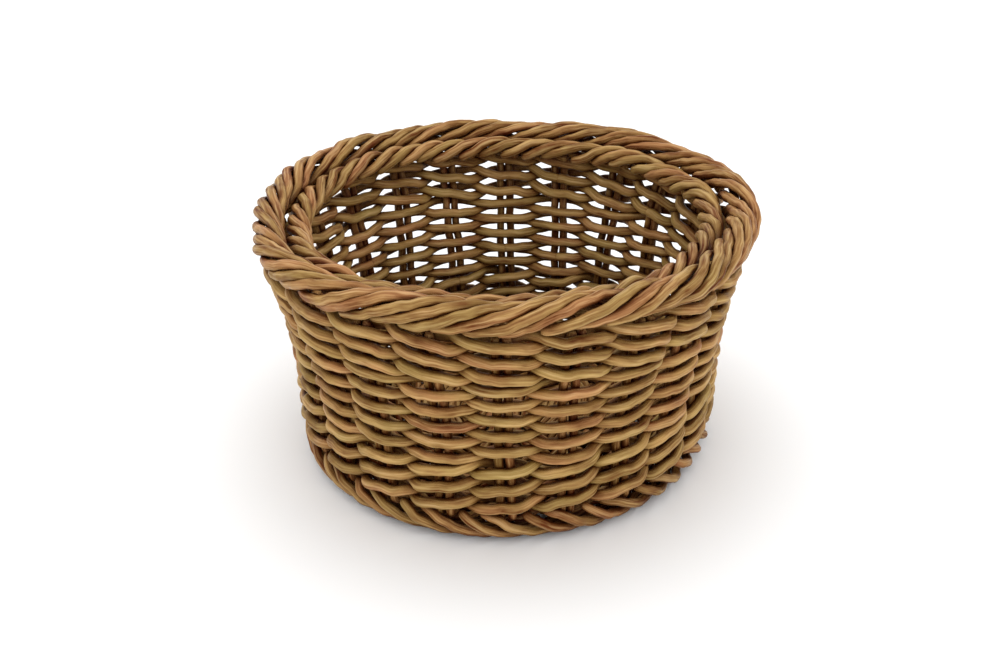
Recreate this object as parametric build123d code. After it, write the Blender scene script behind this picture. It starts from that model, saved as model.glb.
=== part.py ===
from build123d import *
import math
import os

# Round woven bread basket. Millimetres and degrees, +Z up, origin at the centre of the ground circle.
# Every strand is its own solid, swept along straight runs joined by tangent arcs.

# ---- strands ----
STAKE_PAIRS = 22
STAKE = 3.4                 # diameter of the upright rods and of the base sticks
CORD = 3.6                  # diameter of the wall, rim and foot strands
BASE_CORD = 2.5             # diameter of the thinner strands that weave the base
CLEAR = 0.3                 # air between strands that cross, before their bends are rounded off
JOINT_GAP = 0.1             # air between the two cut ends of a weaver, behind a stake
PAIR_HALF = 2.35            # each rod of a pair stands this far to one side of the pair's middle
PAIR_STEP = 360 / STAKE_PAIRS

# ---- wall ----
WALL_RADIUS = 86.0          # stake centres on the upright lower wall
FLARE_START = 20.0          # height at which the wall starts to lean out
FLARE_RADIUS = 258.0
STAKE_TOP = 97.0
STAKE_BEND = 5.0
ROW_LIFT = (STAKE + CORD) / 2 + CLEAR
TWINE_TILT = 2.2           # how far a twined strand rises or falls from a stake to a crossing
LOWER_TWINED_ROWS = (18.4, 26.2, 34.0)
PLAIN_ROWS = 10
PLAIN_START = 39.7
PLAIN_PITCH = 3.72
UPPER_TWINED_ROWS = (78.95, 86.75, 94.5)

# ---- rim: two ropes of strands that wrap round a circle ----
RIM_STRANDS = 50
OUTER_ROPE = {"ring": 99.2, "height": 105.3, "wrap": 4.5, "run": 72.0, "start": -115, "end": 215}
INNER_ROPE = {"ring": 86.75, "height": 102.4, "wrap": 3.3, "run": 41.0, "start": -80, "end": 235}
ROPE_STEPS = 7
WALL_BEND = 8.0             # bend radius of the wall strands

# ---- foot ----
# radius, height and distance run round the basket, from under the wall to the inside of the foot
FOOT_START = 4.1            # angle from a stake pair to the first foot strand beside it
FOOT_ROUTE = (
    (85.6, 12.7, 0.0),
    (89.6, 11.0, 3.5),
    (89.6, 8.0, 9.0),
    (87.0, 4.2, 16.0),
    (82.6, 1.8, 27.0),
    (78.4, 1.8, 38.5),
    (75.8, 3.3, 46.5),
)
FOOT_HEAD_START = 4.5       # every second foot strand starts this much earlier, to clear the next stake pair

# ---- base ----
BASE_HEIGHT = 9.5
STICKS_ACROSS_X = 5
STICKS_ACROSS_Y = 6
STICK_PITCH = 3.7           # spacing of the sticks where the two groups cross
STICK_LAYER = 1.8           # each group lies this far above or below the base plane at the cross
CROSS_HALF = 17.0
FAN_RADIUS = 44.0           # beyond this the sticks run straight out from the centre
STICK_END = 72.5
TAIL_START = 59.2
TAIL_BEND = 73.0
TAIL_HALF = 3.5             # a stake's tail lies this far from the stick beside it
BASE_LIFT = (STAKE + BASE_CORD) / 2 + CLEAR
BASE_TILT = 1.55
BASE_BEND = 5.0
BASE_ROWS = (44.6, 50.15, 55.7, 61.25, 66.8, 72.35, 77.9)
LASH_START = 17.5
LASH_PITCH = 2.85
LASH_TURNS = 8
LASH_LIFT = 4.35
LASH_BEND = 4.0


def polar(angle, radius, height):
    turn = math.radians(angle)
    return Vector(radius * math.cos(turn), radius * math.sin(turn), height)


def bend_radius(before, corner, after, largest):
    """The fillet at a corner: as large as asked, or as its two runs allow."""
    run_in, run_out = corner - before, after - corner
    half_turn = math.radians(run_in.get_angle(run_out)) / 2
    shorter = min(run_in.length, run_out.length)
    return min(largest, 0.46 * shorter / math.tan(half_turn))


def strand(points, diameter, largest_bend=12.0):
    """A round strand along straight runs joined by tangent arcs."""
    corners = zip(points, points[1:], points[2:])
    radii = [bend_radius(*corner, largest_bend) for corner in corners]
    path = FilletPolyline(*points, radius=radii)
    section = Plane(origin=path @ 0, z_dir=path % 0) * Circle(diameter / 2)
    return sweep(section, path=path).solid()


def all_round(piece, count, first=0.0):
    """Copies of a piece, evenly spaced round the basket."""
    return [piece.rotate(Axis.Z, first + k * 360 / count) for k in range(count)]


def save(name, solids):
    export_step(Compound(children=list(solids)), f"parts/{name}.step")
    print(f"{name}: {len(solids)} solids")


# ---- weaving ----


def weaver(place, angles, half, radius, lift, tilt, side, seam):
    """One strand woven once round, passing the obstacles at the given angles on alternate sides.

    place(angle, across, along) gives a point, across being out from the woven surface.
    half is half the width from first to last rod of an obstacle, and radius turns millimetres to degrees.
    side is 1 if the strand passes obstacle 0 on the outside. Its cut ends meet behind obstacle seam.
    """
    count = len(angles)
    degree = math.degrees(1 / radius)

    def angle_of(k):
        return angles[k % count] + 360 * (k // count)

    points = [place(angle_of(seam) + JOINT_GAP / 2 * degree, -lift, 0)]
    for k in range(seam, seam + count + 1):
        outward = side * (-1) ** k
        for reach, wanted in ((angle_of(k - 1) - angle_of(k), k > seam), (angle_of(k + 1) - angle_of(k), True)):
            spacing = reach / 2 / degree
            slope = math.asin(lift / (abs(spacing) - half))
            flat = math.copysign(abs(spacing) - lift / math.tan(slope), spacing)
            if wanted and not (k == seam + count and reach > 0):
                corner = place(angle_of(k) + flat * degree, outward * lift, -outward * tilt * flat / abs(spacing))
                points.append(corner)
                if reach > 0 and tilt:
                    points.append(place(angle_of(k) + reach / 2, 0, -outward * tilt))
    points.append(place(angle_of(seam + count) - JOINT_GAP / 2 * degree, -lift, 0))
    return points


def wall_radius(height):
    above = max(height - FLARE_START, 0)
    return WALL_RADIUS + FLARE_RADIUS - math.sqrt(FLARE_RADIUS**2 - above**2)


def wall_lean(height):
    return math.asin(max(height - FLARE_START, 0) / FLARE_RADIUS)


def wall_weaver(height, side, tilt, seam):
    angles = [k * PAIR_STEP for k in range(STAKE_PAIRS)]

    def place(angle, across, along):
        level = height + along
        return polar(angle, wall_radius(level) + across / math.cos(wall_lean(level)), level)

    points = weaver(place, angles, PAIR_HALF, wall_radius(height), ROW_LIFT, tilt, side, seam)
    return strand(points, CORD, WALL_BEND)


def twined_row(height, tilt, row):
    """Two strands that swap sides between every two stakes. A positive tilt falls to the right, seen from outside."""
    seam = 2 * row
    return [wall_weaver(height, 1, tilt, seam + 1), wall_weaver(height, -1, tilt, seam + 12)]


def plain_row(row):
    """One strand, in front of one stake pair and behind the next, and the other way round in the next row."""
    side = (-1) ** row
    seam = 2 * row + (1 if side > 0 else 0)
    return [wall_weaver(PLAIN_START + row * PLAIN_PITCH, side, 0, seam)]


# ---- stakes ----


def stake(side):
    """One upright rod: a tail in the base, a bend at the base's edge, and the wall's curve."""
    top_radius = wall_radius(STAKE_TOP)
    lean = wall_lean(STAKE_TOP)
    knee = FLARE_START + FLARE_RADIUS * math.tan(lean / 2)
    overrun = 0.5
    points = [
        Vector(TAIL_START, side * TAIL_HALF, BASE_HEIGHT),
        Vector(TAIL_BEND, side * TAIL_HALF, BASE_HEIGHT),
        Vector(WALL_RADIUS, side * PAIR_HALF, BASE_HEIGHT),
        Vector(WALL_RADIUS, side * PAIR_HALF, knee),
        Vector(top_radius + overrun * math.sin(lean), side * PAIR_HALF, STAKE_TOP + overrun * math.cos(lean)),
    ]
    path = FilletPolyline(*points, radius=[20.0, STAKE_BEND, FLARE_RADIUS])
    section = Plane(origin=path @ 0, z_dir=path % 0) * Circle(STAKE / 2)
    return sweep(section, path=path).solid()


# ---- base ----


def stick_offsets(count):
    return [(k - (count - 1) / 2) for k in range(count)]


def stick_route(step, layer):
    """Half of a base stick, in the frame of a group that runs along X: cross, fan and radial end."""
    offset = step * STICK_PITCH
    angle = step * PAIR_STEP
    cross = Vector(CROSS_HALF, offset, BASE_HEIGHT + layer)
    return [cross, polar(angle, FAN_RADIUS, BASE_HEIGHT), polar(angle, STICK_END, BASE_HEIGHT)]


def base_stick(step, layer, turn):
    """A stick that crosses the base, one of a group laid side by side, turned to its group's direction."""
    near = stick_route(step, layer)
    far = [Vector(-p.X, p.Y, p.Z) for p in reversed(near)]
    return strand(far + near, STAKE, 20.0).rotate(Axis.Z, turn)


def base_weaver(radius, side, seam):
    angles = [k * PAIR_STEP for k in range(STAKE_PAIRS)]
    half = TAIL_HALF if radius > TAIL_START else 0.0

    def place(angle, across, along):
        return polar(angle, radius + along, BASE_HEIGHT + across)

    points = weaver(place, angles, half, radius, BASE_LIFT, BASE_TILT, side, seam)
    return strand(points, BASE_CORD, BASE_BEND)


def stick_at(step, layer, radius):
    """Angle and height of a stick where it leaves the cross, at a given distance from the centre."""
    cross, fan, _ = stick_route(step, layer)
    start = math.hypot(cross.X, cross.Y)
    share = (radius - start) / (FAN_RADIUS - start)
    point = cross + (fan - cross) * max(share, 0.0)
    if share < 0:
        point = Vector(math.sqrt(radius**2 - cross.Y**2), cross.Y, cross.Z)
    return math.degrees(math.atan2(point.Y, point.X)), point.Z


def base_lashing():
    """A spiral strand that ties the cross: over the arms of the lower group and under those of the upper one."""
    points = []
    for arm in range(4 * LASH_TURNS):
        upper = arm % 2 == 1
        layer = STICK_LAYER if upper else -STICK_LAYER
        for step in stick_offsets(STICKS_ACROSS_Y if upper else STICKS_ACROSS_X):
            radius = LASH_START + LASH_PITCH * (arm * 90 + step * PAIR_STEP) / 360
            angle, height = stick_at(step, layer, radius)
            lift = -LASH_LIFT if upper else LASH_LIFT
            points.append(polar(arm * 90 + angle, radius, height + lift))
    return strand(points, BASE_CORD, LASH_BEND)


# ---- ropes ----


def rope_points(route):
    """One strand's wrap round its rope: from below, up the outside, over the top and down the inside."""
    points = []
    for k in range(ROPE_STEPS + 1):
        share = k / ROPE_STEPS
        wrap = math.radians(route["start"] + (route["end"] - route["start"]) * share)
        angle = math.degrees(route["run"] * share / route["ring"])
        radius = route["ring"] + route["wrap"] * math.cos(wrap)
        points.append(polar(angle, radius, route["height"] + route["wrap"] * math.sin(wrap)))
    return points


def rope(route):
    return all_round(strand(rope_points(route), CORD, 30.0), RIM_STRANDS)


def foot_strand(head_start):
    ring = FOOT_ROUTE[0][0]
    points = [polar(math.degrees(run / ring), radius, height) for radius, height, run in FOOT_ROUTE]
    points[0] = points[0].rotate(Axis.Z, -math.degrees(head_start / ring))
    return strand(points, CORD)


def foot_rope():
    """Strands that come out between the stakes under the wall, slant down and turn in under the basket."""
    after_stake = all_round(foot_strand(0), STAKE_PAIRS, FOOT_START)
    before_stake = all_round(foot_strand(FOOT_HEAD_START), STAKE_PAIRS, FOOT_START + PAIR_STEP / 2)
    return after_stake + before_stake


# ---- the basket ----


def main():
    os.makedirs("parts", exist_ok=True)

    lower = [base_stick(step, -STICK_LAYER, 0) for step in stick_offsets(STICKS_ACROSS_X)]
    upper = [base_stick(step, STICK_LAYER, 90) for step in stick_offsets(STICKS_ACROSS_Y)]
    for number, stick in enumerate(lower + upper, 1):
        save(f"base_stick_{number:02d}", [stick])
    save("base_lashing", [base_lashing()])
    for number, radius in enumerate(BASE_ROWS, 1):
        save(f"base_row_{number}", [base_weaver(radius, 1, 1), base_weaver(radius, -1, 12)])

    pair = [stake(1), stake(-1)]
    for number in range(STAKE_PAIRS):
        rods = [rod.rotate(Axis.Z, number * PAIR_STEP) for rod in pair]
        save(f"stake_pair_{number + 1:02d}", rods)

    for number, height in enumerate(LOWER_TWINED_ROWS, 1):
        save(f"lower_twined_row_{number}", twined_row(height, -TWINE_TILT, number))
    for row in range(PLAIN_ROWS):
        save(f"plain_row_{row + 1:02d}", plain_row(row))
    for number, height in enumerate(UPPER_TWINED_ROWS, 1):
        save(f"upper_twined_row_{number}", twined_row(height, TWINE_TILT, number))

    save("rim_outer_rope", rope(OUTER_ROPE))
    save("rim_inner_rope", rope(INNER_ROPE))
    save("foot_rope", foot_rope())


main()
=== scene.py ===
import math
import random

import bpy
import numpy as np
from mathutils import Matrix, Vector


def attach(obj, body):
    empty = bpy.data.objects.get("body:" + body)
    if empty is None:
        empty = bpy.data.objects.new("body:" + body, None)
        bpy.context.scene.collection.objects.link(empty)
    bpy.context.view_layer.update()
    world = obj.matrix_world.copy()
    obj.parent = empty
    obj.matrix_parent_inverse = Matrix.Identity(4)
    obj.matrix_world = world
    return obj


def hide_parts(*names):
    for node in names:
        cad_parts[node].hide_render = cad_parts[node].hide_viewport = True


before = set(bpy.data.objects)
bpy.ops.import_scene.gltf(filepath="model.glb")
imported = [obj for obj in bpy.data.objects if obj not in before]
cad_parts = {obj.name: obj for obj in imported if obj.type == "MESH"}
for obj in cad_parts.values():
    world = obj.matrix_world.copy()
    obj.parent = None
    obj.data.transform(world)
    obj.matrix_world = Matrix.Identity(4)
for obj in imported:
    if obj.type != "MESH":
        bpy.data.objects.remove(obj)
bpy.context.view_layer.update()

# The woven basket is described in millimetres and degrees in the CAD frame, and MM turns it into metres.
MM = 0.001
SEED = 41

# ---- strands: a little thicker than in the CAD model, as where real ones press together ----
STAKE = 3.65
CORD = 4.1
TWINED_CORD = 4.4
ROPE_CORD = 4.1
FOOT_CORD = 3.8
BASE_CORD = 3.0

# ---- wall ----
PAIRS = 22
PAIR_STEP = 360 / PAIRS
HALF_ROUND = PAIRS // 2     # the two strands of a row have their seams on opposite sides
PAIR_HALF = 2.15            # each rod of a pair stands this far to one side of the pair's middle
WALL_RADIUS = 86.0          # stake centres on the upright lower wall
FLARE_START = 20.0          # height at which the wall starts to lean out
FLARE_RADIUS = 258.0
STAKE_TOP = 97.0
STAKE_BEND = 5.0
ROW_LIFT = 3.7              # a strand passes this far outside or inside the stake centres
TWINE_TILT = 2.1            # how far a twined strand rises or falls from a stake to a crossing
PLAIN_SHARPNESS = 1.4       # how abruptly a strand crosses from the outside to the inside
TWINED_SHARPNESS = 2.0
LOWER_TWINED_ROWS = (18.4, 26.2, 34.0)
PLAIN_ROWS = 10
PLAIN_START = 39.7
PLAIN_PITCH = 3.72
UPPER_TWINED_ROWS = (79.0, 86.6, 94.2)

# ---- rim: two ropes of strands that wrap round a circle ----
# tuck is the share of each wrap that is left out at its start, where it is hidden under the rope
RIM_STRANDS = 50
OUTER_ROPE = {"ring": 99.2, "height": 105.3, "wrap": 4.5, "run": 72.0,
              "start": -115, "end": 215, "tuck": 0.11}
INNER_ROPE = {"ring": 86.75, "height": 102.4, "wrap": 3.3, "run": 41.0,
              "start": -80, "end": 235, "tuck": 0.0}

# ---- foot ----
# radius, height and distance run round the basket, from under the wall to the inside of the foot
FOOT_START = 4.1            # angle from a stake pair to the first foot strand beside it
FOOT_ROUTE = (
    (85.6, 13.9, 0.0),
    (89.4, 12.2, 3.5),
    (89.5, 8.6, 9.0),
    (87.0, 4.2, 16.0),
    (82.6, 2.4, 27.0),
    (78.4, 2.4, 38.5),
    (75.8, 3.3, 46.5),
)
FOOT_HEAD_START = 4.5       # every second foot strand starts this much earlier
FOOT_PAINTED_SHADE = 0.3            # painted shade: foot strands are at least this dark, on the scale from 0 to 1, for the shade at the bottom of the basket

# ---- base ----
BASE_HEIGHT = 9.5
LOWER_STICKS = 5
UPPER_STICKS = 6
STICK_PITCH = 3.7           # spacing of the sticks where the two groups cross
STICK_LAYER = 1.8           # each group lies this far above or below the base plane at the cross
CROSS_HALF = 17.0
FAN_RADIUS = 44.0           # beyond this the sticks run straight out from the centre
STICK_END = 72.5
TAIL_START = 59.2
TAIL_BEND = 73.0
TAIL_HALF = 3.5             # a stake's tail lies this far from the stick beside it
BASE_LIFT = 3.15
BASE_TILT = 1.4
BASE_ROWS = (44.6, 50.3, 56.0, 61.7, 67.4, 73.1, 78.8)
LASH_START = 17.5
LASH_PITCH = 2.95
LASH_TURNS = 8
LASH_LIFT = 4.1

# ---- how finely the strands are built ----
SIDES = 14                  # corners of a strand's section
STEP = 1.3                  # spacing of a strand's rings
SPLICE = 0.03               # the two ends of a row run into each other by this share of a stake step
ROW_STEPS = 24              # points of a woven strand's line from one stake to the next
WRAP_STEPS = 30             # runs of a rope strand's line
END_ROUNDING = ((0.0, 0.72), (0.3, 0.93), (0.8, 1.0))  # distance from a cut end, share of the radius


def polar(angle, radius, height):
    """Points at an angle in degrees, a radius and a height."""
    turn = np.radians(angle)
    return np.stack([radius * np.cos(turn), radius * np.sin(turn), height + 0 * turn], -1)


def wall_radius(height):
    above = np.maximum(height - FLARE_START, 0)
    return WALL_RADIUS + FLARE_RADIUS - np.sqrt(FLARE_RADIUS**2 - above**2)


def wall_lean(height):
    return np.arcsin(np.maximum(height - FLARE_START, 0) / FLARE_RADIUS)


# ---- centre lines ----


def resample(points, step):
    """The same line with points a steady distance apart."""
    points = np.asarray(points, float)
    lengths = np.linalg.norm(np.diff(points, axis=0), axis=1)
    along = np.concatenate([[0], np.cumsum(lengths)])
    wanted = np.linspace(0, along[-1], max(int(round(along[-1] / step)), 3) + 1)
    return np.stack([np.interp(wanted, along, points[:, k]) for k in range(3)], -1)


def through(points, parts=8):
    """A smooth line that passes through every point."""
    points = [np.asarray(p, float) for p in points]
    padded = [2 * points[0] - points[1]] + points + [2 * points[-1] - points[-2]]
    line = []
    for a, b, c, d in zip(padded, padded[1:], padded[2:], padded[3:]):
        for t in np.linspace(0, 1, parts, endpoint=False):
            line.append(0.5 * (2 * b + (c - a) * t + (2 * a - 5 * b + 4 * c - d) * t**2
                               + (3 * b - a - 3 * c + d) * t**3))
    line.append(points[-1])
    return np.array(line)


def rounded(points, reach=0.45, parts=8):
    """Straight runs whose corners are rounded off over a share of the shorter run beside them."""
    points = [np.asarray(p, float) for p in points]
    line = [points[0]]
    for before, corner, after in zip(points, points[1:], points[2:]):
        run_in, run_out = corner - before, after - corner
        cut = reach * min(np.linalg.norm(run_in), np.linalg.norm(run_out))
        start = corner - run_in / np.linalg.norm(run_in) * cut
        stop = corner + run_out / np.linalg.norm(run_out) * cut
        for t in np.linspace(0, 1, parts):
            line.append((1 - t) ** 2 * start + 2 * t * (1 - t) * corner + t**2 * stop)
    line.append(points[-1])
    return np.array(line)


def eased(line, reach):
    """The same line with its bends spread over a few more points, and its ends kept."""
    padded = np.concatenate([np.repeat(line[:1], reach, 0), line, np.repeat(line[-1:], reach, 0)])
    window = np.hanning(2 * reach + 3)[1:-1]
    window /= window.sum()
    return np.stack([np.convolve(padded[:, k], window, "valid") for k in range(3)], -1)


def swing(phase, sharpness=PLAIN_SHARPNESS):
    """1 on one stake, -1 on the next, flat beside each stake and slanting between them."""
    return np.tanh(sharpness * np.cos(np.pi * phase)) / math.tanh(sharpness)


def weave_line(seam):
    """Angles of a strand woven once round, from one end to the other, and its phase in stakes."""
    phase = np.linspace(seam - SPLICE, seam + PAIRS + SPLICE, PAIRS * ROW_STEPS + 1)
    return phase * PAIR_STEP, phase


def wall_weaver(height, side, tilt, seam):
    """A strand of the wall, on the outside of the even stakes if side is 1."""
    angle, phase = weave_line(seam)
    out = side * swing(phase, TWINED_SHARPNESS if tilt else PLAIN_SHARPNESS)
    level = height - side * tilt * np.sin(np.pi * phase) ** 3
    return polar(angle, wall_radius(level) + ROW_LIFT * out / np.cos(wall_lean(level)), level)


def base_weaver(radius, side, seam):
    """A strand of the base, above the even spokes if side is 1."""
    angle, phase = weave_line(seam)
    across = BASE_LIFT * side * swing(phase)
    return polar(angle, radius - side * BASE_TILT * np.sin(np.pi * phase), BASE_HEIGHT + across)


def stake_line(side):
    """A rod of the pair at angle 0: its tail in the base, the bend at the corner and the upright."""
    elbow = []
    for a in np.radians(np.linspace(0, 90, 9)):
        across = WALL_RADIUS - STAKE_BEND + STAKE_BEND * math.sin(a)
        elbow.append((across, side * PAIR_HALF, BASE_HEIGHT + STAKE_BEND - STAKE_BEND * math.cos(a)))
    tail_start = (TAIL_START, side * TAIL_HALF, BASE_HEIGHT)
    tail_bend = (TAIL_BEND, side * TAIL_HALF, BASE_HEIGHT)
    tail = rounded([tail_start, tail_bend, elbow[0]])
    heights = np.linspace(BASE_HEIGHT + STAKE_BEND + 1, STAKE_TOP, 70)
    upright = np.stack([wall_radius(heights), 0 * heights + side * PAIR_HALF, heights], -1)
    return np.concatenate([tail[:-1], elbow, upright])


def turned(points, degrees):
    """The same points turned about the upright axis."""
    c, s = math.cos(math.radians(degrees)), math.sin(math.radians(degrees))
    return np.asarray(points) @ np.array([[c, s, 0], [-s, c, 0], [0, 0, 1]])


def stick_route(step, layer):
    """Corners of one half of a base stick that lies along X at the cross."""
    cross = np.array([CROSS_HALF, step * STICK_PITCH, BASE_HEIGHT + layer])
    angle = step * PAIR_STEP
    return [cross, polar(angle, FAN_RADIUS, BASE_HEIGHT), polar(angle, STICK_END, BASE_HEIGHT)]


def stick_line(step, layer):
    near = stick_route(step, layer)
    far = [p * np.array([-1, 1, 1]) for p in reversed(near)]
    return rounded(far + near, 0.3)


def lashing_line():
    """A flat spiral that runs above the lower sticks and below the upper ones, arm after arm of the cross."""
    points = []
    for arm in range(4 * LASH_TURNS):
        upper = arm % 2 == 1
        layer = STICK_LAYER if upper else -STICK_LAYER
        count = UPPER_STICKS if upper else LOWER_STICKS
        for k in range(count):
            step = k - (count - 1) / 2
            radius = LASH_START + LASH_PITCH * (arm * 90 + step * PAIR_STEP) / 360
            cross, fan, _ = stick_route(step, layer)
            start = math.hypot(cross[0], cross[1])
            share = (radius - start) / (FAN_RADIUS - start)
            point = cross + (fan - cross) * max(share, 0.0)
            if share < 0:
                point = np.array([math.sqrt(radius**2 - cross[1] ** 2), cross[1], cross[2]])
            angle = math.degrees(math.atan2(point[1], point[0]))
            lift = -LASH_LIFT if upper else LASH_LIFT
            points.append(polar(arm * 90 + angle, radius, point[2] + lift))
    return through(points, 5)


def rope_line(rope, rng):
    """One strand's wrap round its rope, a little different for each strand."""
    share = np.linspace(rope["tuck"], 1, WRAP_STEPS + 1)
    wrap = np.radians(rope["start"] + (rope["end"] - rope["start"]) * share + rng.uniform(-11, 11))
    swell = rope["wrap"] * (1 + rng.uniform(-0.05, 0.12) + 0.09 * np.sin(share * 5 + rng.uniform(0, 6)))
    drift = rng.uniform(-1.3, 1.3) + rng.uniform(-1.2, 1.2) * share
    angle = np.degrees((rope["run"] * share + drift) / rope["ring"])
    return polar(angle, rope["ring"] + swell * np.cos(wrap), rope["height"] + swell * np.sin(wrap))


def foot_line(head_start, rng):
    """A foot strand's way round the corner, with its bends eased."""
    ring = FOOT_ROUTE[0][0]
    points = []
    for radius, height, run in FOOT_ROUTE:
        run = run - head_start if not points else run + rng.uniform(-0.6, 0.6)
        points.append(polar(math.degrees(run / ring), radius + rng.uniform(-0.2, 0.2), height))
    return eased(resample(rounded(points, 0.48), STEP), 4)


# ---- hand-made unevenness: one smooth field that moves neighbouring strands together ----


def uneven(points):
    """The rim leans and dips, the wall is out of round, and rows wave up, down and sideways."""
    x, y, z = points[:, 0], points[:, 1], points[:, 2]
    angle = np.arctan2(y, x)
    radius = np.hypot(x, y)
    outside = np.clip((radius - 60) / 15, 0, 1)
    up = np.clip(z / 25, 0, 1) * outside
    out = 0.5 * np.sin(3 * angle + 0.7) + 0.45 * np.sin(7 * angle + z / 17)
    out = out + 0.25 * np.sin(13 * angle - z / 9 + 2)
    lean = (0.5 - 2.2 * np.sin(angle) + 0.8 * np.sin(3 * angle)) * z / 105
    rise = lean + 0.4 * np.sin(9 * angle - z / 13) + 0.25 * np.sin(17 * angle + z / 7)
    slide = 0.8 * np.sin(5 * angle + z / 26 + 2) + 0.5 * np.sin(11 * angle - z / 15 + 4)
    oval = -0.4 * np.cos(2 * angle) * outside
    radius = radius + out * up + oval
    angle = angle + slide * up / np.maximum(radius, 1)
    return np.stack([radius * np.cos(angle), radius * np.sin(angle), z + rise * up], -1)


# ---- tubes ----


def cross_directions(line):
    """Two directions across the line at each point, that don't twist along it."""
    tangent = np.gradient(line, axis=0)
    tangent /= np.linalg.norm(tangent, axis=1)[:, None]
    side = np.cross(tangent[0], (0.3, 0.2, 1.0))
    sides = []
    for t in tangent:
        side = side - t * np.dot(side, t)
        side = side / np.linalg.norm(side)
        sides.append(side)
    sides = np.array(sides)
    return sides, np.cross(tangent, sides)


def wander(line, rng):
    """Small bumps and bends of one strand, where it presses on its neighbours."""
    along = np.concatenate([[0], np.cumsum(np.linalg.norm(np.diff(line, axis=0), axis=1))])
    shift = np.zeros_like(line)
    for wave, size in ((23.0, 0.21), (11.0, 0.17), (6.5, 0.09)):
        for axis in range(3):
            shift[:, axis] += size * rng.uniform(0.5, 1) * np.sin(along * 6.283 / wave + rng.uniform(0, 6.28))
    return line + shift


def tube(line, diameter, rng):
    """Rings of a strand with slightly uneven section, and each point's place in the strand's fibres."""
    line = wander(resample(uneven(resample(line, STEP)), STEP), rng)
    length = np.linalg.norm(np.diff(line, axis=0), axis=1).sum()
    along = np.linspace(0, length, len(line))
    right, up = cross_directions(line)
    around = np.linspace(0, 2 * np.pi, SIDES, endpoint=False)[None, :]
    spin = 0.012 * along[:, None] + rng.uniform(0, 6.28)
    wobble = 0.025 * np.sin(along[:, None] / 9 + rng.uniform(0, 6.28)) + rng.uniform(-0.02, 0.03)
    section = 0.025 * np.cos(2 * (around - spin)) + 0.015 * np.cos(3 * (around - spin) + 1)
    end = np.minimum(along, length - along)
    rounding = np.interp(end, [d for d, _ in END_ROUNDING], [r for _, r in END_ROUNDING])
    radius = diameter / 2 * (1 + wobble + section) * rounding[:, None]
    rings = line[:, None] + radius[..., None] * (
        np.cos(around)[..., None] * right[:, None] + np.sin(around)[..., None] * up[:, None])
    shift = rng.uniform(0, 4000)
    turn = around - spin
    fibre = np.stack([np.cos(turn), np.sin(turn), np.broadcast_to(along[:, None] + shift, turn.shape)], -1)
    fibre[..., :2] *= diameter / 2
    return rings, fibre


def piece(name, slot, strands, diameter, rng, least_painted_shade=0.0):
    """One mesh object of closed tubes, that stands for the CAD node of the same name.

    Each strand has its own tone: how red, how dark and how rough it is; the last argument, when above 0,
    keeps every strand at least that dark, as painted shade.
    """
    places, fibres, tones, faces = [], [], [], []
    first = 0
    for line in strands:
        rings, fibre = tube(line, diameter, rng)
        count, sides = rings.shape[:2]
        # Painted shade: the piece's least darkness, when above 0, raises every strand's darkness to stand for
        # shade.
        tone = (rng.random(), least_painted_shade + (1 - least_painted_shade) * rng.random(), rng.random())
        caps = np.stack([rings[0].mean(0), rings[-1].mean(0)])
        places.append(np.concatenate([rings.reshape(-1, 3), caps]))
        cap_fibres = np.array([[0, 0, fibre[0, 0, 2]], [0, 0, fibre[-1, 0, 2]]])
        fibres.append(np.concatenate([fibre.reshape(-1, 3), cap_fibres]))
        tones.append(np.tile(tone, (count * sides + 2, 1)))
        k, s = np.meshgrid(np.arange(count - 1), np.arange(sides), indexing="ij")
        low, nxt = k * sides + s, k * sides + (s + 1) % sides
        quads = np.stack([low, nxt, nxt + sides, low + sides], -1).reshape(-1, 4)
        s = np.arange(sides)
        start = np.stack([(s + 1) % sides, s, 0 * s + count * sides], -1)
        stop = np.stack([s, (s + 1) % sides, 0 * s], -1) + (count - 1) * sides
        stop[:, 2] = count * sides + 1
        faces.append((quads + first, start + first, stop + first))
        first += count * sides + 2
    quads = np.concatenate([f[0] for f in faces])
    tris = np.concatenate([np.concatenate(f[1:]) for f in faces])
    return make_object(name, slot, np.concatenate(places) * MM, quads, tris,
                       np.concatenate(fibres), np.concatenate(tones))


def make_object(name, slot, places, quads, tris, fibres, tones):
    mesh = bpy.data.meshes.new(f"woven_{name}")
    mesh.vertices.add(len(places))
    mesh.vertices.foreach_set("co", places.astype(np.float32).ravel())
    corners = np.concatenate([quads.ravel(), tris.ravel()])
    starts = np.concatenate([np.arange(len(quads)) * 4, len(quads) * 4 + np.arange(len(tris)) * 3])
    mesh.loops.add(len(corners))
    mesh.loops.foreach_set("vertex_index", corners.astype(np.int32))
    mesh.polygons.add(len(starts))
    mesh.polygons.foreach_set("loop_start", starts.astype(np.int32))
    mesh.polygons.foreach_set("use_smooth", np.ones(len(starts), bool))
    mesh.update(calc_edges=True)
    mesh.validate()
    for label, values in (("fibre", fibres), ("tone", tones)):
        attribute = mesh.attributes.new(label, "FLOAT_VECTOR", "POINT")
        attribute.data.foreach_set("vector", values.astype(np.float32).ravel())
    obj = bpy.data.objects.new(f"woven_{name}", mesh)
    bpy.context.scene.collection.objects.link(obj)
    mesh.materials.append(MATERIALS[slot])
    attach(obj, "root")
    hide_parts(name)
    return obj


# ---- materials ----


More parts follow.
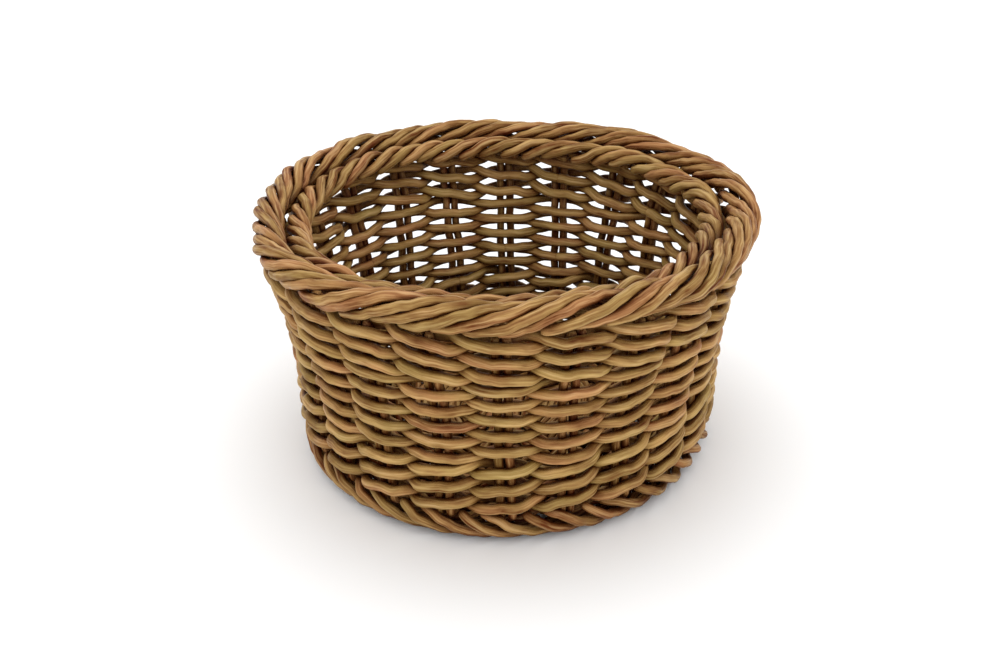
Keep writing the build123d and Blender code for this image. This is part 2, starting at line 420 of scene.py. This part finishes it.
class Nodes:
    """Small helper that adds nodes to a material and links them."""

    def __init__(self, material):
        self.tree = material.node_tree
        self.tree.nodes.clear()

    def add(self, kind, inputs=None, **settings):
        node = self.tree.nodes.new(kind)
        for key, value in settings.items():
            setattr(node, key, value)
        for key, value in (inputs or {}).items():
            if isinstance(value, bpy.types.NodeSocket):
                self.tree.links.new(value, node.inputs[key])
            else:
                node.inputs[key].default_value = value
        return node

    def maths(self, operation, a, b, clamp=False):
        node = self.add("ShaderNodeMath", {0: a, 1: b}, operation=operation, use_clamp=clamp)
        return node.outputs[0]

    def span(self, value, low, high, to_low=0.0, to_high=1.0):
        node = self.add("ShaderNodeMapRange", {"Value": value, "From Min": low, "From Max": high,
                                               "To Min": to_low, "To Max": to_high})
        return node.outputs["Result"]

    def mix(self, share, a, b, blend="MIX"):
        node = self.add("ShaderNodeMix", data_type="RGBA", blend_type=blend, clamp_factor=True)
        for key, value in ((0, share), (6, a), (7, b)):
            if isinstance(value, bpy.types.NodeSocket):
                self.tree.links.new(value, node.inputs[key])
            else:
                node.inputs[key].default_value = value
        return node.outputs[2]

    def noise(self, vector, scale, size, detail=2.0, roughness=0.55):
        mapped = self.add("ShaderNodeMapping", {"Vector": vector, "Scale": scale})
        node = self.add("ShaderNodeTexNoise", {"Vector": mapped.outputs[0], "Scale": size,
                                               "Detail": detail, "Roughness": roughness})
        return node.outputs["Fac"]


def tint(red, green, blue):
    """Linear colour from 0 to 255 display values."""
    values = [v / 255 for v in (red, green, blue)]
    linear = [v / 12.92 if v <= 0.04045 else ((v + 0.055) / 1.055) ** 2.4 for v in values]
    return (*linear, 1.0)


OLIVE = tint(176, 148, 86)
GOLD = tint(195, 157, 96)
TAN = tint(192, 140, 91)
# colour that darkens the cords, both for their own darker tone and for painted shade
DARK_TONE_AND_SHADE = tint(94, 42, 4)
# colour of the painted shade in the crevices between strands
PAINTED_CREVICE_SHADE = tint(56, 11, 0)
PALE = tint(221, 187, 136)


def cord_material(name, shade, redness):
    """Round extruded cord: mixed olive, gold and reddish strands with fine streaks along them, with painted
    shade in the crevices and, through the shade argument, all over.
    """
    material = bpy.data.materials.new(name)
    material.use_nodes = True
    n = Nodes(material)
    fibre = n.add("ShaderNodeAttribute", attribute_name="fibre").outputs["Vector"]
    tone = n.add("ShaderNodeAttribute", attribute_name="tone").outputs["Vector"]
    parts = n.add("ShaderNodeSeparateXYZ", {0: tone})
    hue, value, wear = parts.outputs

    patches = n.noise(fibre, (0.10, 0.10, 0.035), 1.0, 2.0)
    blotches = n.noise(fibre, (0.35, 0.35, 0.11), 1.0, 3.0)
    streaks = n.noise(fibre, (1.0, 1.0, 0.05), 1.0, 3.0, 0.6)
    hairs = n.noise(fibre, (3.2, 3.2, 0.12), 1.0, 2.0, 0.6)

    red = n.maths("ADD", n.maths("MULTIPLY", hue, 0.7), n.span(patches, 0.3, 0.7, -0.4, 0.45))
    red = n.maths("ADD", red, redness, clamp=True)
    colour = n.mix(n.span(red, 0.0, 0.55), OLIVE, GOLD)
    colour = n.mix(n.span(red, 0.5, 1.0), colour, TAN)

    # Darker blotches, streaks and strands are the cords' own colour, except the foot's extra darkness, which
    # is painted shade.
    dark = n.span(blotches, 0.42, 0.72, 0.0, 0.38)
    dark = n.maths("ADD", dark, n.span(streaks, 0.44, 0.68, 0.0, 0.4))
    dark = n.maths("ADD", dark, n.maths("MULTIPLY", n.maths("POWER", value, 2.0), 0.25))
    # Painted shade, in part: the material's shade darkens it all over, for the cords' own darker tone and for
    # the shade the base and stakes sit in.
    dark = n.maths("ADD", dark, shade, clamp=True)
    colour = n.mix(dark, colour, DARK_TONE_AND_SHADE)
    pale = n.maths("MULTIPLY", n.span(hairs, 0.35, 0.6, 0.3, 1.0), n.span(streaks, 0.5, 0.34, 0.0, 0.42))
    colour = n.mix(pale, colour, PALE)

    # Painted shade: ambient occlusion darkens, reddens and deepens the colour in the crevices between
    # strands, where less light reaches.
    crevice_openness = n.add("ShaderNodeAmbientOcclusion", {"Distance": 0.007}, samples=4).outputs["AO"]
    crevice_shade_gamma = n.span(crevice_openness, 0.86, 0.35, 1.0, 1.6)
    crevice_shaded_colour = n.add("ShaderNodeGamma", {0: colour, 1: crevice_shade_gamma}).outputs[0]
    colour = n.mix(n.span(crevice_openness, 0.80, 0.22, 0.0, 0.94), crevice_shaded_colour, PAINTED_CREVICE_SHADE)

    height = n.maths("ADD", n.maths("MULTIPLY", streaks, 0.7), n.maths("MULTIPLY", hairs, 0.3))
    bump = n.add("ShaderNodeBump", {"Strength": 0.45, "Distance": 0.00045, "Height": height})
    rough = n.maths("ADD", n.span(streaks, 0.3, 0.7, 0.36, 0.52), n.maths("MULTIPLY", wear, 0.08))
    shader = n.add("ShaderNodeBsdfPrincipled", {
        "Base Color": colour, "Roughness": rough, "Normal": bump.outputs[0], "IOR": 1.47,
        "Specular IOR Level": 0.12})
    n.add("ShaderNodeOutputMaterial", {"Surface": shader.outputs[0]})
    return material


# The first number darkens the whole material, both for the cord's own darker tone and as painted shade: the
# base's high value paints the shade on the basket's floor inside the walls, and the stakes' paints the shade
# they sit in behind the strands.
MATERIALS = {
    "base_cord": cord_material("base_cord", 0.38, 0.05),
    "stake_cord": cord_material("stake_cord", 0.22, 0.15),
    "wall_cord": cord_material("wall_cord", 0.02, 0.0),
    "border_cord": cord_material("border_cord", 0.24, 0.15),
}


# ---- the basket ----


def build_base(rng):
    number = 0
    for count, layer, turn in ((LOWER_STICKS, -STICK_LAYER, 0), (UPPER_STICKS, STICK_LAYER, 90)):
        for k in range(count):
            number += 1
            line = turned(stick_line(k - (count - 1) / 2, layer), turn)
            piece(f"base_stick_{number:02d}", "base_cord", [line], STAKE, rng)
    piece("base_lashing", "base_cord", [lashing_line()], BASE_CORD, rng)
    for k, radius in enumerate(BASE_ROWS, 1):
        strands = [base_weaver(radius, 1, 1), base_weaver(radius, -1, 1 + HALF_ROUND)]
        piece(f"base_row_{k}", "base_cord", strands, BASE_CORD, rng)


def build_stakes(rng):
    for k in range(PAIRS):
        rods = [turned(stake_line(side), k * PAIR_STEP) for side in (1, -1)]
        piece(f"stake_pair_{k + 1:02d}", "stake_cord", rods, STAKE, rng)


def build_twined_rows(band, heights, tilt, rng):
    for k, height in enumerate(heights, 1):
        seam = 2 * k + 1
        strands = [wall_weaver(height, 1, tilt, seam), wall_weaver(height, -1, tilt, seam + HALF_ROUND)]
        piece(f"{band}_twined_row_{k}", "wall_cord", strands, TWINED_CORD, rng)


def build_plain_rows(rng):
    for k in range(PLAIN_ROWS):
        side = (-1) ** k
        seam = 2 * k + (1 if side > 0 else 0)
        line = wall_weaver(PLAIN_START + k * PLAIN_PITCH, side, 0, seam)
        piece(f"plain_row_{k + 1:02d}", "wall_cord", [line], CORD, rng)


def build_rim(rng):
    step = 360 / RIM_STRANDS
    for name, rope in (("rim_outer_rope", OUTER_ROPE), ("rim_inner_rope", INNER_ROPE)):
        strands = [turned(rope_line(rope, rng), k * step) for k in range(RIM_STRANDS)]
        piece(name, "border_cord", strands, ROPE_CORD, rng)


def build_foot(rng):
    strands = []
    for k in range(2 * PAIRS):
        line = foot_line(FOOT_HEAD_START if k % 2 else 0, rng)
        strands.append(turned(line, FOOT_START + k * PAIR_STEP / 2))
    # Painted shade: the foot's strands are all made darker, for the shade at the bottom of the basket.
    piece("foot_rope", "border_cord", strands, FOOT_CORD, rng, FOOT_PAINTED_SHADE)


def build_basket():
    rng = random.Random(SEED)
    build_base(rng)
    build_stakes(rng)
    build_twined_rows("lower", LOWER_TWINED_ROWS, -TWINE_TILT, rng)
    build_twined_rows("upper", UPPER_TWINED_ROWS, TWINE_TILT, rng)
    build_plain_rows(rng)
    build_rim(rng)
    build_foot(rng)


# ---- floor, light and camera ----


def add_floor():
    half = 4.0
    corners = [(-half, -half, 0), (half, -half, 0), (half, half, 0), (-half, half, 0)]
    mesh = bpy.data.meshes.new("floor")
    mesh.from_pydata(corners, [], [(0, 1, 2, 3)])
    floor = bpy.data.objects.new("floor", mesh)
    bpy.context.scene.collection.objects.link(floor)
    material = bpy.data.materials.new("pale_floor")
    material.use_nodes = True
    shader = material.node_tree.nodes["Principled BSDF"]
    shader.inputs["Base Color"].default_value = (0.93, 0.93, 0.93, 1)
    shader.inputs["Roughness"].default_value = 0.9
    mesh.materials.append(material)


def add_light(name, place, size, power):
    """A round lamp that points at the middle of the basket."""
    light = bpy.data.lights.new(name, "AREA")
    light.shape = "DISK"
    light.size = size
    light.energy = power
    lamp = bpy.data.objects.new(name, light)
    lamp.location = place
    aim = Vector((0, 0, 0.06)) - Vector(place)
    lamp.rotation_euler = aim.to_track_quat("-Z", "Y").to_euler()
    bpy.context.scene.collection.objects.link(lamp)


def add_lights():
    world = bpy.data.worlds.new("studio")
    world.use_nodes = True
    background = world.node_tree.nodes["Background"]
    background.inputs["Color"].default_value = (1, 1, 1, 1)
    background.inputs["Strength"].default_value = 1.12
    bpy.context.scene.world = world
    add_light("key", (-0.1, 0.15, 1.3), 0.9, 4.0)
    add_light("fill", (0.6, -0.9, 0.8), 0.8, 1.2)
    bpy.context.scene.view_settings.view_transform = "Standard"


def add_camera():
    """Looks down at the middle of the wall, from a little to the right of the front."""
    distance, elevation, azimuth, roll = 0.6184, 28.8, 9.2, -1.1
    target = Vector((-0.0024, 0, 0.0473))
    rise, turn, tip = (math.radians(v) for v in (elevation, azimuth, roll))
    back = Vector((math.sin(turn) * math.cos(rise), -math.cos(turn) * math.cos(rise), math.sin(rise)))
    right = Vector((math.cos(turn), math.sin(turn), 0))
    up = back.cross(right)
    right, up = right * math.cos(tip) + up * math.sin(tip), up * math.cos(tip) - right * math.sin(tip)
    camera = bpy.data.objects.new("camera", bpy.data.cameras.new("camera"))
    camera.data.lens = 50.7
    camera.data.sensor_width = 36.0
    camera.data.clip_start = 0.01
    facing = Matrix((right, up, back)).transposed().to_4x4()
    camera.matrix_world = Matrix.Translation(target + back * distance) @ facing
    bpy.context.scene.collection.objects.link(camera)
    bpy.context.scene.camera = camera


build_basket()
add_floor()
add_lights()
add_camera()
